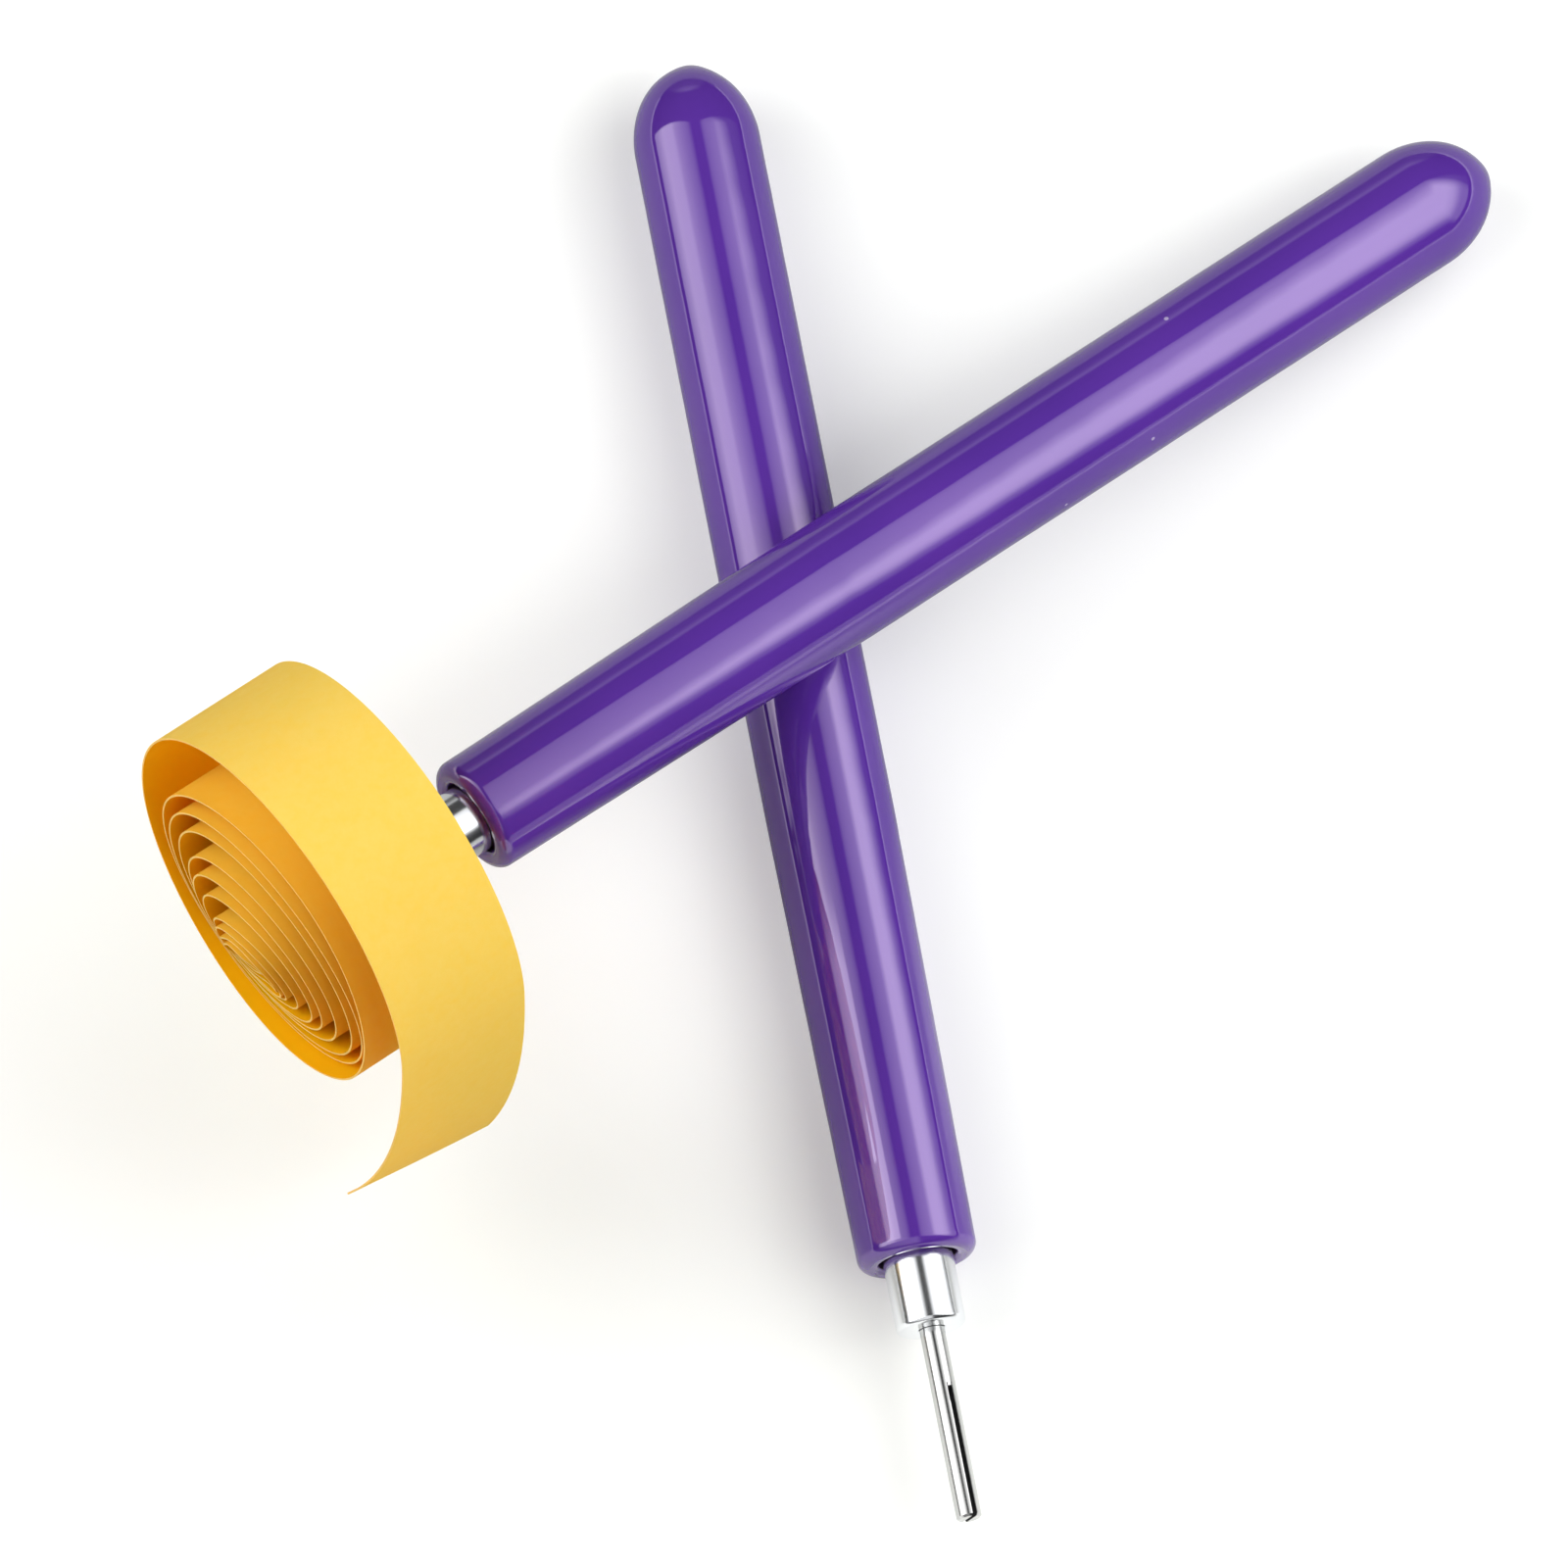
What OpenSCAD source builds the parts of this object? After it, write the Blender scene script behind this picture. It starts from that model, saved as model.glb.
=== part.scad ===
// Pair of slotted quilling tools laid crosswise, with a paper strip rolled on one of them.
// Each tool is a slotted steel pin in a chromed ferrule on a core rod, in a moulded grip sleeve.
// Millimetres, +Z up. The lower tool lies along Y with its pin towards -Y.

/* [Grip sleeve] */
// Length of the sleeve from its rounded end to its mouth
sleeve_length = 90.6; // [80:0.2:120]
// Diameter of the straight rear stretch of the sleeve
sleeve_d = 9.1; // [8.6:0.1:12]
// Length from the rounded end over which the sleeve keeps that diameter
straight_length = 56; // [30:1:60]
// Outer diameter at the mouth, where the taper ends
mouth_d = 8.5; // [8:0.1:9]
// Depth of the open recess between the mouth and the core rod's front face
recess_depth = 2; // [1:0.1:5]
// Thickness of the closed rear end, along the axis
end_wall = 3; // [2.5:0.1:5]

/* [Drip nub] */
// Diameter of the small nub that moulding leaves on the rounded end
nub_d = 3; // [2:0.1:4]
// How far the nub stands proud of the rounded end
nub_rise = 0.4; // [0.1:0.05:0.8]
// Angle of the nub off the tool's axis
nub_angle = 8; // [0:1:40]

/* [Core rod] */
// Diameter of the rod that stiffens the sleeve
core_d = 5.2; // [4.8:0.1:6]

/* [Ferrule] */
// Diameter of the ferrule's visible body
ferrule_d = 5; // [4:0.1:5.2]
// Length of the ferrule that shows in front of the sleeve's mouth
ferrule_reach = 5; // [2:0.5:15]
// Chamfer at the ferrule's front edge
ferrule_chamfer = 0.5; // [0.1:0.05:0.8]
// Diameter of the ferrule's shank inside the core rod
shank_d = 3.6; // [3:0.1:4]
// Length of that shank
shank_length = 12; // [6:1:20]

/* [Slotted pin] */
// Diameter of the pin
pin_d = 1.8; // [1.7:0.1:2.4]
// Length of the pin in front of the ferrule
pin_reach = 14; // [12:1:20]
// Diameter of the pin's turned tang, pressed into the ferrule
tang_d = 1.4; // [1:0.1:1.6]
// Length of that tang
tang_length = 10; // [6:1:15]
// Edge break at the pin's tip
pin_chamfer = 0.15; // [0.05:0.05:0.3]
// Width of the slot across the pin's tip
slot_w = 0.36; // [0.3:0.02:0.5]
// Length of the slot from the tip
slot_length = 9.6; // [9.6:0.1:12]
// Turn of the lower tool's slot about its axis, from level
lower_slot_turn = 56; // [0:1:179]

/* [Paper strip] */
// Width of the strip
strip_w = 10.4; // [5:0.2:10.4]
// Thickness of the paper
strip_t = 0.14; // [0.12:0.01:0.18]
// How far the strip's front edge stands past the pin's tip
strip_overhang = 1; // [1:0.1:2]
// Whole turns rolled round the pin
strip_turns = 11; // [5:1:11]
// How much larger the eye is than the pin, in radius: the roll hangs on the pin by that slack
eye_slack = 0.95; // [0.3:0.05:1.2]
// Growth of the radius over the first turn
turn_pitch = 0.8; // [0.6:0.02:1]
// How much more the radius grows with each further turn
pitch_gain = 0.044; // [0:0.002:0.06]
// Gap between neighbouring turns at the bottom, where they gather
gather_gap = 0.05; // [0.04:0.01:0.1]
// Share of the growth by which each turn's centre moves sideways
centre_drift = 0.08; // [0:0.01:0.15]
// How far the outermost turn springs open, in radius
last_turn_spring = 3.05; // [1:0.05:4]
// Share of that spring by which the outermost turn's centre rises
spring_rise = 0.97; // [0.9:0.01:0.97]
// Share of that spring by which the outermost turn's centre moves sideways
spring_drift = 0.24; // [0:0.01:0.24]
// Length of the loose tail that hangs from the outermost turn
tail_length = 26; // [5:0.5:28]
// Radius of the tail's own curl
tail_curl_r = 50; // [40:5:150]
// How far before the full turn the tail springs away
tail_angle = 11; // [0:1:20]

/* [Layout] */
// Place of the crossing along the lower tool, from its rounded end
lower_cross = 43.7; // [38:0.1:50]
// Place of the crossing along the upper tool, from its rounded end
upper_cross = 60; // [54:0.2:68]
// Angle between the two tools, seen from above
cross_angle = 63.8; // [50:0.2:90]
// Gap between the two sleeves where they cross
cross_gap = 0.08; // [0.05:0.01:0.3]

/* [Clearances] */
// Radial gap of glued and pressed seats inside one tool
seat_gap = 0.02; // [0.01:0.01:0.05]
// Gap between the rolled strip and the pin
strip_gap = 0.1; // [0.05:0.01:0.2]

/* [Hidden] */
$fn = 64;

// Colours
grip_purple = [0.35, 0.19, 0.6];
core_grey = [0.66, 0.67, 0.69];
chrome = [0.88, 0.89, 0.91];
steel = [0.78, 0.78, 0.8];
paper_yellow = [0.98, 0.78, 0.28];

// Places along a tool's axis, from the rounded end
grip_r = sleeve_d / 2;
mouth_r = mouth_d / 2;
core_end = sleeve_length - recess_depth;
hole_r = core_d / 2 + seat_gap;
// The mouth's edge is a full round between the hole and the taper's end
lip_r = (mouth_r - hole_r) / 2;
lip_place = sleeve_length - lip_r;
ferrule_end = sleeve_length + ferrule_reach;
tool_length = ferrule_end + pin_reach;
overshoot = 1;

// Outer radius of the sleeve at a place along its axis
function sleeve_r(place) =
    place <= straight_length ? grip_r
    : grip_r + (mouth_r - grip_r) * (place - straight_length) / (sleeve_length - straight_length);

// Slope of the upper tool: its rounded end is on the table and its sleeve lies on the lower sleeve.
// The slope changes the distance between the axes a little, so it is found in a few passes.
axis_distance = sleeve_r(lower_cross) + sleeve_r(upper_cross) + cross_gap;
function lift_share(slope) =
    cos(slope) * sin(cross_angle) / norm([cos(slope) * sin(cross_angle), sin(slope)]);
function slope_pass(slope, passes) =
    passes == 0 ? slope
    : slope_pass(asin(axis_distance * lift_share(slope) / (upper_cross - grip_r)), passes - 1);
first_slope = 9;
slope_passes = 6;
upper_slope = slope_pass(first_slope, slope_passes);
upper_azimuth = -90 - cross_angle;

// Directions of the upper tool: along its axis to the tip, level across it, and upwards across it
along = [cos(upper_slope) * cos(upper_azimuth), cos(upper_slope) * sin(upper_azimuth), sin(upper_slope)];
across = [-sin(upper_azimuth), cos(upper_azimuth), 0];
upward = cross(along, across);

// The point of the upper axis nearest to the lower one, over the lower axis at y = 0
normal = cross(along, [0, -1, 0]) / norm(cross(along, [0, -1, 0]));
nearest = [0, 0, grip_r] + normal * axis_distance;
upper_rear = nearest - along * upper_cross;

// The rolled strip's centre line, in the plane across the upper pin: [level across, upwards].
// It starts as a short tab in the pin's slot, bends out and winds clockwise, seen from the tip.
pin_r = pin_d / 2;
eye_r = pin_r + strip_gap + strip_t / 2;
steps_per_turn = 40;
bend_r = 0.3;
bend_start = eye_r - bend_r;
first_turn = 0.07;
// Shares of a turn over which the eye loosens and the last turn springs open
slack_span = 0.3;
spring_span = 0.36;
// The steady growth ends a little before the spring starts
growth_end = strip_turns - 1.2;
spring_start = strip_turns - 0.91;
tab_start = strip_gap - pin_r;
function ease(share) = let (s = min(max(share, 0), 1)) s * s * (3 - 2 * s);
function even_turns(turn) = min(max(turn - first_turn, 0), growth_end - first_turn);
function turn_growth(turn) =
    turn_pitch * even_turns(turn) + pitch_gain * even_turns(turn) * even_turns(turn) / 2;
function turn_slack(turn) = eye_slack * ease(turn / slack_span);
function turn_spring(turn) = last_turn_spring * ease((turn - spring_start) / spring_span);
function turn_r(turn) = eye_r + turn_slack(turn) + turn_growth(turn) + turn_spring(turn);
// Each turn lies under the one inside it by the paper's thickness and the gap
function gathered(turn) = (strip_t + gather_gap) * max(turn - first_turn, 0);
function turn_centre(turn) = [
    centre_drift * turn_growth(turn) + spring_drift * turn_spring(turn),
    turn_growth(turn) + spring_rise * turn_spring(turn) - turn_slack(turn) - gathered(turn)];
function turn_point(turn) =
    turn_centre(turn) + turn_r(turn) * [cos(-360 * turn), sin(-360 * turn)];
bend_steps = 5;
tab = [for (i = [0 : bend_steps - 1]) [tab_start + (bend_start - tab_start) * i / bend_steps, 0]];
bend = [for (i = [0 : bend_steps]) let (a = 90 - 90 * i / bend_steps)
    [bend_start, -bend_r] + bend_r * [cos(a), sin(a)]];
rolled_turns = strip_turns - tail_angle / 360;
turns = [for (i = [ceil(first_turn * steps_per_turn) + 1 : floor(rolled_turns * steps_per_turn)])
    turn_point(i / steps_per_turn)];
// The tail leaves the last turn along its own direction, and curls less than the turn does
tail_top = turn_point(rolled_turns);
tail_steps = 9;
tail_sweep = tail_length / tail_curl_r * 180 / PI;
tail = [for (i = [0 : tail_steps]) let (a = tail_angle - tail_sweep * i / tail_steps)
    tail_top + tail_curl_r * [cos(a) - cos(tail_angle), sin(a) - sin(tail_angle)]];
centre_line = concat(tab, bend, turns, tail);
last = len(centre_line) - 1;
// Unit vector across the centre line at one of its points
function side(i) =
    let (step = centre_line[min(i + 1, last)] - centre_line[max(i - 1, 0)])
    [-step[1], step[0]] / norm(step);
strip_outline = concat(
    [for (i = [0 : last]) centre_line[i] + side(i) * strip_t / 2],
    [for (i = [last : -1 : 0]) centre_line[i] - side(i) * strip_t / 2]);

// The whole set is centred on its footprint
strip_front = tool_length + strip_overhang;
function strip_low_x(place) =
    min([for (p = strip_outline) (upper_rear + along * place + across * p[0] + upward * p[1])[0]]);
low_x = min(strip_low_x(strip_front), strip_low_x(strip_front - strip_w));
nub_r = nub_d / 2;
nub_centre = grip_r + nub_rise - nub_r;
upper_nub_x = -(along * cos(nub_angle) + across * sin(nub_angle))[0] * nub_centre + nub_r;
high_x = (upper_rear + along * grip_r)[0] + max(grip_r, upper_nub_x);
high_y = lower_cross - grip_r + max(grip_r, nub_centre * cos(nub_angle) + nub_r);
low_y = lower_cross - tool_length;
set_middle = [(low_x + high_x) / 2, (low_y + high_y) / 2, 0];

// Stands a tool, built upwards from its rounded end, at its place in the set
module on_lower_tool() {
    translate([0, lower_cross, grip_r] - set_middle) rotate([90, 0, 0]) children();
}
module on_upper_tool() {
    translate(upper_rear - set_middle) rotate([0, 90 - upper_slope, upper_azimuth]) children();
}

// Half section of the sleeve: closed round end, straight stretch, taper, rolled mouth and blind hole
module sleeve_section() {
    difference() {
        intersection() {
            union() {
                translate([0, grip_r]) circle(grip_r);
                polygon([[0, grip_r], [grip_r, grip_r], [grip_r, straight_length],
                         [mouth_r, lip_place], [0, lip_place]]);
                translate([hole_r + lip_r, lip_place]) circle(lip_r);
            }
            square([sleeve_d, sleeve_length]);
        }
        translate([0, end_wall]) square([hole_r, sleeve_length]);
    }
}

module grip_sleeve() {
    rotate_extrude() sleeve_section();
    translate([0, 0, grip_r]) rotate([nub_angle, 0, 0]) translate([0, 0, -nub_centre]) sphere(nub_r);
}

module core_rod() {
    difference() {
        translate([0, 0, end_wall + seat_gap]) cylinder(d = core_d, h = core_end - end_wall - seat_gap);
        translate([0, 0, core_end - shank_length - seat_gap])
            cylinder(d = shank_d + 2 * seat_gap, h = shank_length + overshoot);
    }
}

module ferrule() {
    body_start = core_end + seat_gap;
    difference() {
        union() {
            translate([0, 0, core_end - shank_length])
                cylinder(d = shank_d, h = shank_length + 2 * seat_gap);
            translate([0, 0, body_start])
                cylinder(d = ferrule_d, h = ferrule_end - ferrule_chamfer - body_start);
            translate([0, 0, ferrule_end - ferrule_chamfer])
                cylinder(d1 = ferrule_d, d2 = ferrule_d - 2 * ferrule_chamfer, h = ferrule_chamfer);
        }
        translate([0, 0, ferrule_end - tang_length - seat_gap])
            cylinder(d = tang_d + 2 * seat_gap, h = tang_length + overshoot);
    }
}

// The slot opens level across the pin, as the upper tool has it
module slotted_pin() {
    slot_start = tool_length - slot_length + slot_w / 2;
    shoulder = ferrule_end + seat_gap;
    difference() {
        union() {
            translate([0, 0, ferrule_end - tang_length])
                cylinder(d = tang_d, h = tang_length + 2 * seat_gap);
            translate([0, 0, shoulder]) cylinder(d = pin_d, h = tool_length - pin_chamfer - shoulder);
            translate([0, 0, tool_length - pin_chamfer])
                cylinder(d1 = pin_d, d2 = pin_d - 2 * pin_chamfer, h = pin_chamfer);
        }
        translate([-slot_w / 2, -pin_d, slot_start]) cube([slot_w, 2 * pin_d, slot_length + overshoot]);
        translate([0, 0, slot_start]) rotate([90, 0, 0]) cylinder(d = slot_w, h = 2 * pin_d, center = true);
    }
}

module lower_grip_sleeve() { color(grip_purple) on_lower_tool() grip_sleeve(); }
module lower_core_rod() { color(core_grey) on_lower_tool() core_rod(); }
module lower_ferrule() { color(chrome) on_lower_tool() ferrule(); }
module lower_slotted_pin() {
    color(steel) on_lower_tool() rotate([0, 0, lower_slot_turn - 90]) slotted_pin();
}

module upper_grip_sleeve() { color(grip_purple) on_upper_tool() rotate([0, 0, 180]) grip_sleeve(); }
module upper_core_rod() { color(core_grey) on_upper_tool() core_rod(); }
module upper_ferrule() { color(chrome) on_upper_tool() ferrule(); }
module upper_slotted_pin() { color(steel) on_upper_tool() slotted_pin(); }

// The strip's flat plane turns a quarter so that its first coordinate runs level across the tool
module paper_strip() {
    color(paper_yellow) on_upper_tool() translate([0, 0, strip_front - strip_w]) rotate([0, 0, 90])
        linear_extrude(strip_w) polygon(strip_outline);
}

lower_grip_sleeve();
lower_core_rod();
lower_ferrule();
lower_slotted_pin();
upper_grip_sleeve();
upper_core_rod();
upper_ferrule();
upper_slotted_pin();
paper_strip();
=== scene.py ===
"""Looks of the crossed quilling tools and the paper strip rolled on the upper tool's pin.

Lengths in the tables below are millimetres, and meshes are made in metres in the row frame.
"""

import math

import bpy
import bmesh
from mathutils import Matrix, Vector


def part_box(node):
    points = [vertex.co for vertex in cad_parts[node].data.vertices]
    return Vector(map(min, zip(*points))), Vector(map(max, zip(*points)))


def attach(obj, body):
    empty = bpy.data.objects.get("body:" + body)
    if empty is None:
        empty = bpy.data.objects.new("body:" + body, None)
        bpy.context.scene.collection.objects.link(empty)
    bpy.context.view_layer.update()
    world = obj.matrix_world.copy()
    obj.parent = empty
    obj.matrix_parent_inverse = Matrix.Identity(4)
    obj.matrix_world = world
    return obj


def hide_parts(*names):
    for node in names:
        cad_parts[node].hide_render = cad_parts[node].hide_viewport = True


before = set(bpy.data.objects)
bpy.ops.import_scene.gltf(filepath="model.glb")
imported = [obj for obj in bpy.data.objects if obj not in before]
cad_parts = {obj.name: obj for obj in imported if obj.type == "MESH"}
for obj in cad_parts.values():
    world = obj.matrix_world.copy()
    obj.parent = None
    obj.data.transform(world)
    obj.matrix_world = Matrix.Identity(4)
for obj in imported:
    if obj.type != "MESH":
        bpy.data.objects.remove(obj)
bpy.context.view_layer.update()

MM = 0.001

# The tools, as in the part's source
SLEEVE_LENGTH = 90.6
SLEEVE_R = 4.55
STRAIGHT_LENGTH = 56.0
MOUTH_R = 4.25
RECESS_DEPTH = 2.0
END_WALL = 3.0
NUB_ANGLE = math.radians(8.0)
HOLE_R = 2.62
FERRULE_R = 2.5
FERRULE_REACH = 5.0
SHANK_R = 1.8
SHANK_LENGTH = 12.0
PIN_R = 0.9
PIN_REACH = 14.0
PIN_CHAMFER = 0.15
TANG_R = 0.7
TANG_LENGTH = 10.0
SLOT_W = 0.36
SLOT_LENGTH = 9.6
SEAT_GAP = 0.02
CROSS_GAP = 0.08
LOWER_CROSS = 43.7
UPPER_CROSS = 60.0
CROSS_ANGLE = math.radians(63.8)
SLOPE_GUESS = math.radians(9.0)
SLOPE_PASSES = 6

# Fitted more closely than in the source: the drip nub, and the turn of the lower pin's slot
NUB_RISE = 0.28
LOWER_SLOT_TURN = math.radians(62.0)

CORE_END = SLEEVE_LENGTH - RECESS_DEPTH
FERRULE_END = SLEEVE_LENGTH + FERRULE_REACH
TOOL_LENGTH = FERRULE_END + PIN_REACH

# The rolled strip, as in the part's source
STRIP_W = 10.4
STRIP_T = 0.14
STRIP_FRONT = TOOL_LENGTH + 1.0
STRIP_TURNS = 11.0
STRIP_GAP = 0.1
EYE_R = PIN_R + STRIP_GAP + STRIP_T / 2
EYE_SLACK = 0.95
TURN_PITCH = 0.8
PITCH_GAIN = 0.044
GATHER_STEP = STRIP_T + 0.05
CENTRE_DRIFT = 0.08
LAST_TURN_SPRING = 3.05
SPRING_RISE = 0.97
SPRING_DRIFT = 0.24
TAIL_LENGTH = 26.0
TAIL_CURL_R = 50.0
TAIL_ANGLE = 11.0
FIRST_TURN = 0.07
SLACK_SPAN = 0.3
SPRING_SPAN = 0.36
GROWTH_END = STRIP_TURNS - 1.2
SPRING_START = STRIP_TURNS - 0.91
STEADY_TURNS = GROWTH_END - FIRST_TURN
TOTAL_GROWTH = TURN_PITCH * STEADY_TURNS + PITCH_GAIN * STEADY_TURNS ** 2 / 2

# Finer than the source: the eye's turns lie close together and the outer ones further apart,
# with the same growth in all
EYE_PITCH = 0.5
EYE_TURNS = 2.2
EYE_TO_OUTER_TURNS = 2.0
OUTER_TURNS = STEADY_TURNS - EYE_TURNS - EYE_TO_OUTER_TURNS / 2
EXTRA_PITCH = (TOTAL_GROWTH - EYE_PITCH * STEADY_TURNS) / OUTER_TURNS


def srgb(red, green, blue):
    """A colour given by its 0 to 255 display values, as linear values with alpha."""
    def linear(value):
        value /= 255.0
        return value / 12.92 if value <= 0.04045 else ((value + 0.055) / 1.055) ** 2.4
    return (linear(red), linear(green), linear(blue), 1.0)


# Node trees


class Formula:
    """A number inside a node tree, written with ordinary arithmetic."""

    def __init__(self, tree, socket):
        self.tree = tree
        self.socket = socket

    def math(self, operation, *others):
        node = self.tree.nodes.new("ShaderNodeMath")
        node.operation = operation
        for slot, value in zip(node.inputs, (self, *others)):
            if isinstance(value, Formula):
                self.tree.links.new(value.socket, slot)
            else:
                slot.default_value = value
        return Formula(self.tree, node.outputs[0])

    def __add__(self, other):
        return self.math("ADD", other)

    def __sub__(self, other):
        return self.math("SUBTRACT", other)

    def __rsub__(self, other):
        return self.math("MULTIPLY", -1.0) + other

    def __mul__(self, other):
        return self.math("MULTIPLY", other)

    def __rmul__(self, other):
        return self.math("MULTIPLY", other)

    def __truediv__(self, other):
        return self.math("DIVIDE", other)

    def clamp(self, low, high):
        return self.math("MAXIMUM", low).math("MINIMUM", high)

    def ease(self):
        share = self.clamp(0.0, 1.0)
        return share * share * (3.0 - 2.0 * share)

    def sin(self):
        return self.math("SINE")

    def cos(self):
        return self.math("COSINE")


class Nodes:
    """A node tree with short calls for adding nodes and joining sockets."""

    def __init__(self, tree):
        self.tree = tree

    def add(self, kind, settings=None, **inputs):
        node = self.tree.nodes.new(kind)
        for name, value in (settings or {}).items():
            setattr(node, name, value)
        for name, value in inputs.items():
            self.feed(node.inputs[name.replace("_", " ")], value)
        return node

    def feed(self, slot, value):
        if isinstance(value, Formula):
            self.tree.links.new(value.socket, slot)
        elif isinstance(value, bpy.types.NodeSocket):
            self.tree.links.new(value, slot)
        else:
            slot.default_value = value

    def formula(self, socket):
        return Formula(self.tree, socket)


def eased(value, line):
    """0 up to a line's start, easing to 1 over its span."""
    start, span = line
    return ((value - start) / span).ease()


def new_material(name):
    material = bpy.data.materials.new(name)
    material.use_nodes = True
    material.node_tree.nodes.clear()
    return material, Nodes(material.node_tree)


def finish_material(nodes, surface):
    output = nodes.add("ShaderNodeOutputMaterial")
    nodes.tree.links.new(surface, output.inputs["Surface"])


def object_noise(nodes, scale, detail=2.0, roughness=0.5, stretch=(1.0, 1.0, 1.0)):
    """Noise in the object's own coordinates, with scale in bumps per metre."""
    place = nodes.add("ShaderNodeTexCoord")
    mapping = nodes.add("ShaderNodeMapping", Scale=stretch)
    nodes.tree.links.new(place.outputs["Object"], mapping.inputs["Vector"])
    noise = nodes.add("ShaderNodeTexNoise", Scale=scale, Detail=detail, Roughness=roughness)
    nodes.tree.links.new(mapping.outputs["Vector"], noise.inputs["Vector"])
    return noise.outputs["Fac"]


def two_colours(nodes, factor, low, high, low_at=0.35, high_at=0.65):
    ramp = nodes.add("ShaderNodeValToRGB")
    ramp.color_ramp.elements[0].position = low_at
    ramp.color_ramp.elements[0].color = low
    ramp.color_ramp.elements[1].position = high_at
    ramp.color_ramp.elements[1].color = high
    nodes.feed(ramp.inputs["Fac"], factor)
    return ramp.outputs["Color"]


def mixed_colours(nodes, factor, low, high, blend="MIX"):
    """Two colours mixed by a factor, each a socket or a plain value."""
    mix = nodes.add("ShaderNodeMix", {"data_type": "RGBA", "blend_type": blend})
    nodes.feed(mix.inputs[0], factor)
    nodes.feed(mix.inputs[6], low)
    nodes.feed(mix.inputs[7], high)
    return mix.outputs[2]


def bump(nodes, height, distance, strength=1.0, under=None):
    node = nodes.add("ShaderNodeBump", Strength=strength, Distance=distance, Height=height)
    if under is not None:
        nodes.tree.links.new(under, node.inputs["Normal"])
    return node.outputs["Normal"]


# Materials


def purple_vinyl():
    """Dip-moulded vinyl: glossy and a little uneven, with a few dust specks, and a dull inside
    darkened with painted shade.
    """
    speck_cells_per_metre = 420.0
    speck_r = 0.075
    speck_rarity = 0.955
    speck_strength = 0.55
    swell_depth = 0.00003
    gloss_low = 0.05
    gloss_range = 0.05
    bore_dullness = 0.4
    grazing_line = (0.2, 0.45)
    grazing_loss = 0.65
    deep_purple = srgb(83, 43, 149)
    bright_purple = srgb(88, 46, 153)
    dust_white = srgb(214, 200, 232)
    bore_painted_shade_purple = srgb(40, 14, 48)
    material, nodes = new_material("purple_vinyl")
    cloud = object_noise(nodes, 90.0, detail=1.0)
    colour = two_colours(nodes, cloud, deep_purple, bright_purple)
    place = nodes.add("ShaderNodeTexCoord")
    cells = nodes.add("ShaderNodeTexVoronoi", Scale=speck_cells_per_metre)
    nodes.tree.links.new(place.outputs["Object"], cells.inputs["Vector"])
    near = nodes.formula(cells.outputs["Distance"]).math("LESS_THAN", speck_r)
    pick = nodes.add("ShaderNodeSeparateColor")
    nodes.tree.links.new(cells.outputs["Color"], pick.inputs["Color"])
    chosen = nodes.formula(pick.outputs["Red"]).math("GREATER_THAN", speck_rarity)
    speck = near * chosen * speck_strength
    colour = mixed_colours(nodes, speck, colour, dust_white)
    bore = nodes.add("ShaderNodeAttribute", {"attribute_name": "bore"})
    inside = nodes.formula(bore.outputs["Fac"])
    # Painted shade: the bore's inside is darkened because its hollow gets no light. Its dullness and
    # lack of coat, set below, are real.
    colour = mixed_colours(nodes, inside, colour, bore_painted_shade_purple)
    swell = bump(nodes, object_noise(nodes, 55.0, detail=1.0), swell_depth)
    swell = bump(nodes, speck, swell_depth, under=swell)
    gloss = nodes.formula(object_noise(nodes, 260.0, detail=2.0)) * gloss_range + gloss_low
    facing = nodes.add("ShaderNodeLayerWeight", Blend=0.5)
    grazing = eased(nodes.formula(facing.outputs["Facing"]), grazing_line)
    shader = nodes.add(
        "ShaderNodeBsdfPrincipled",
        Base_Color=colour,
        Roughness=gloss + inside * bore_dullness,
        IOR=1.62,
        Specular_Tint=(0.92, 0.65, 1.0, 1.0),
        Coat_Weight=(1.0 - grazing * grazing_loss) * (1.0 - inside),
        Coat_Roughness=0.02,
        Coat_IOR=1.5,
        Normal=swell,
    )
    finish_material(nodes, shader.outputs["BSDF"])
    return material


def chrome_plate():
    """Bright plating with the faintest haze and a few fine circular marks."""
    haze_low = 0.15
    haze_range = 0.04
    material, nodes = new_material("chrome_plate")
    haze = nodes.formula(object_noise(nodes, 500.0, detail=3.0)) * haze_range + haze_low
    marks = bump(nodes, object_noise(nodes, 1500.0, detail=2.0), 0.000002)
    shader = nodes.add(
        "ShaderNodeBsdfPrincipled",
        Base_Color=srgb(240, 242, 245),
        Metallic=1.0,
        Roughness=haze,
        Normal=marks,
    )
    finish_material(nodes, shader.outputs["BSDF"])
    return material


def polished_steel():
    """Drawn and polished pin wire, with fine lines along it, and slot walls dull from the saw and
    darkened with painted shade.
    """
    haze_low = 0.16
    haze_range = 0.08
    sawn_dullness = 0.3
    dark_line = srgb(192, 193, 192)
    bright_line = srgb(212, 212, 211)
    slot_painted_shade_grey = srgb(58, 58, 60)
    material, nodes = new_material("polished_steel")
    lines = object_noise(nodes, 2500.0, detail=2.0, stretch=(1.0, 0.03, 1.0))
    colour = two_colours(nodes, lines, dark_line, bright_line)
    sawn_and_shaded = nodes.add("ShaderNodeAttribute", {"attribute_name": "sawn_and_shaded"})
    # Painted shade: the slot's walls and floor are darkened to stand in for the shade in the narrow
    # slot.
    colour = mixed_colours(nodes, sawn_and_shaded.outputs["Fac"], colour, slot_painted_shade_grey)
    dull = nodes.formula(sawn_and_shaded.outputs["Fac"]) * sawn_dullness
    haze = nodes.formula(lines) * haze_range + haze_low + dull
    shader = nodes.add(
        "ShaderNodeBsdfPrincipled",
        Base_Color=colour,
        Metallic=1.0,
        Roughness=haze,
        Normal=bump(nodes, lines, 0.000003),
    )
    finish_material(nodes, shader.outputs["BSDF"])
    return material


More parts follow.
